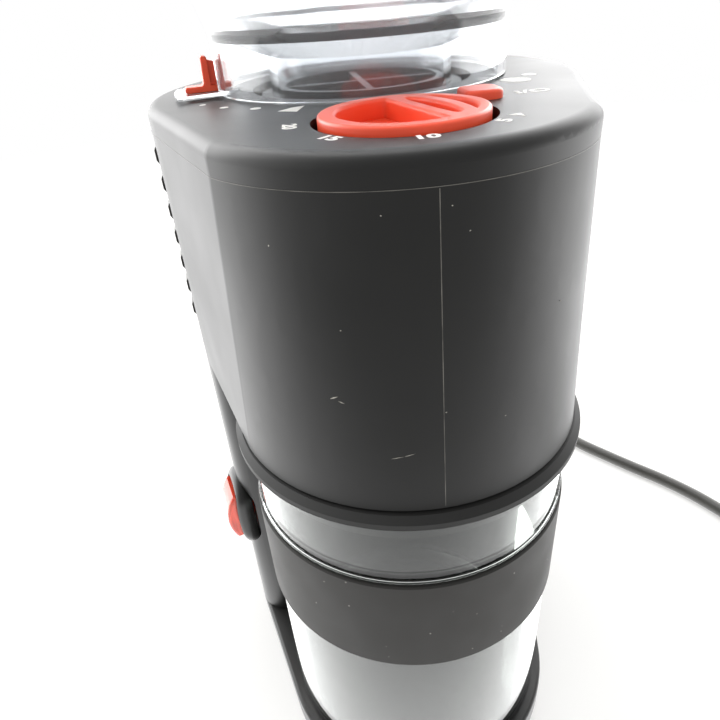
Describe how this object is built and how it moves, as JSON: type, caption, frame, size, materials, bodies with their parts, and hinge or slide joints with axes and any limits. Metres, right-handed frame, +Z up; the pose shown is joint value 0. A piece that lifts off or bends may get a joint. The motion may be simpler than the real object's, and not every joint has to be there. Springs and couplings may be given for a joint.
{
  "type": "electric coffee grinder",
  "caption": "Upright electric burr coffee grinder with a clear bean hopper, timer dial, start button, side power switch and a glass jar standing in a bay under the grinding head.",
  "frame": {"origin": "middle of the plinth's outline, on the surface that the rubber feet stand on", "axes": "+Z up, -Y towards the user (jar and dial in front), +X to the user's right"},
  "size_m": [0.3191, 0.2245, 0.275],
  "materials": {
    "body_plastic": "fine matte texture",
    "black_plastic": "satin",
    "grip_rubber": "matte",
    "orange_plastic": "satin",
    "rocker_plastic": "gloss",
    "clear_plastic": "clear gloss",
    "jar_glass": "clear",
    "steel": "machined",
    "ferrite": "sintered",
    "bronze": "machined",
    "gear_plastic": "moulded",
    "pinion_brass": "machined",
    "circuit_board": "lacquered",
    "lead_vinyl": "matte vinyl"
  },
  "bodies": {
    "housing": {"base": "body_plastic", "bottom_cover": "black_plastic", "rubber_feet": "grip_rubber", "left_shell": "body_plastic", "right_shell": "body_plastic", "head_underside": "black_plastic", "top_cover": "body_plastic", "rear_grip": "grip_rubber", "housing_screws": "steel", "switch_bezel": "black_plastic", "switch_body": "black_plastic", "timer_potentiometer": "black_plastic", "button_spring": "steel", "micro_switch": "black_plastic", "control_board": "circuit_board", "burr_chamber": "black_plastic", "outlet_chute": "black_plastic", "gearbox_housing": "black_plastic", "gearbox_cover": "black_plastic", "idler_pin": "steel", "motor_can": "steel", "motor_magnets": "ferrite", "motor_bearings": "bronze", "lower_bush": "bronze", "shaft_bearing": "bronze", "strain_relief": "grip_rubber", "mains_lead": "lead_vinyl", "cord_coil": "lead_vinyl", "lead_tail": "lead_vinyl", "plug": "lead_vinyl", "plug_pins": "bronze", "coil_tie": "black_plastic"},
    "hopper": {"hopper": "clear_plastic", "hopper_tab": "clear_plastic", "finger_guard": "black_plastic", "guard_cross": "black_plastic", "grind_pointer": "orange_plastic", "adjusting_collar": "black_plastic"},
    "hopper_lid": {"hopper_lid": "clear_plastic"},
    "burr_ring": {"ring_burr": "steel", "burr_holder": "black_plastic"},
    "burrs": {"main_gear": "gear_plastic", "burr_shaft": "steel", "burr_carrier": "black_plastic", "cone_burr": "steel", "burr_nut": "steel"},
    "idler": {"idler_gear": "steel"},
    "motor": {"motor_rotor": "steel", "motor_shaft": "steel", "motor_pinion": "pinion_brass"},
    "timer": {"timer_dial": "orange_plastic", "timer_shaft": "steel"},
    "start": {"start_button": "orange_plastic"},
    "rocker": {"power_rocker": "rocker_plastic"},
    "jar": {"glass_jar": "jar_glass", "jar_band": "grip_rubber", "jar_lid": "black_plastic"}
  },
  "joints": [
    {"name": "hopper_turn", "type": "hinge", "parent": "housing", "child": "hopper", "pos_m": [0, 0.0185, 0.2108], "axis": [0, 0, 1], "range_deg": [0, 54]},
    {"name": "burr_lift", "type": "slide", "parent": "housing", "child": "burr_ring", "axis": [0, 0, 1], "range_m": [0, 0.00035]},
    {"name": "lid_lift", "type": "slide", "parent": "hopper", "child": "hopper_lid", "axis": [0, 0, 1], "range_m": [0, 0.06]},
    {"name": "motor_spin", "type": "hinge", "parent": "housing", "child": "motor", "pos_m": [0, 0.0525, 0.1], "axis": [0, 0, 1], "continuous": true},
    {"name": "idler_spin", "type": "hinge", "parent": "housing", "child": "idler", "pos_m": [0.01546, 0.03685, 0.15], "axis": [0, 0, 1], "continuous": true},
    {"name": "burr_spin", "type": "hinge", "parent": "housing", "child": "burrs", "pos_m": [0, 0.0185, 0.16], "axis": [0, 0, 1], "continuous": true},
    {"name": "dial_turn", "type": "hinge", "parent": "housing", "child": "timer", "pos_m": [0, -0.0425, 0.208], "axis": [0, 0, 1], "range_deg": [-105, 80]},
    {"name": "button_press", "type": "slide", "parent": "housing", "child": "start", "axis": [0, 0, -1], "range_m": [0, 0.002], "stiffness_N_per_m": 300, "springref_m": -0.002, "deforming": ["button_spring"]},
    {"name": "rocker_tip", "type": "hinge", "parent": "housing", "child": "rocker", "pos_m": [-0.05948, 0.00367, 0.0656], "axis": [0.2419, -0.9703, 0], "range_deg": [0, 10]},
    {"name": "jar_slide", "type": "slide", "parent": "housing", "child": "jar", "axis": [0, -1, 0], "range_m": [0, 0.12]}
  ],
  "couplings": [
    {"joint": "idler_spin", "follows": "motor_spin", "ratio": -0.22222},
    {"joint": "burr_spin", "follows": "motor_spin", "ratio": 0.055556},
    {"joint": "burr_lift", "follows": "hopper_turn", "m_per_rad": 0.00035}
  ]
}
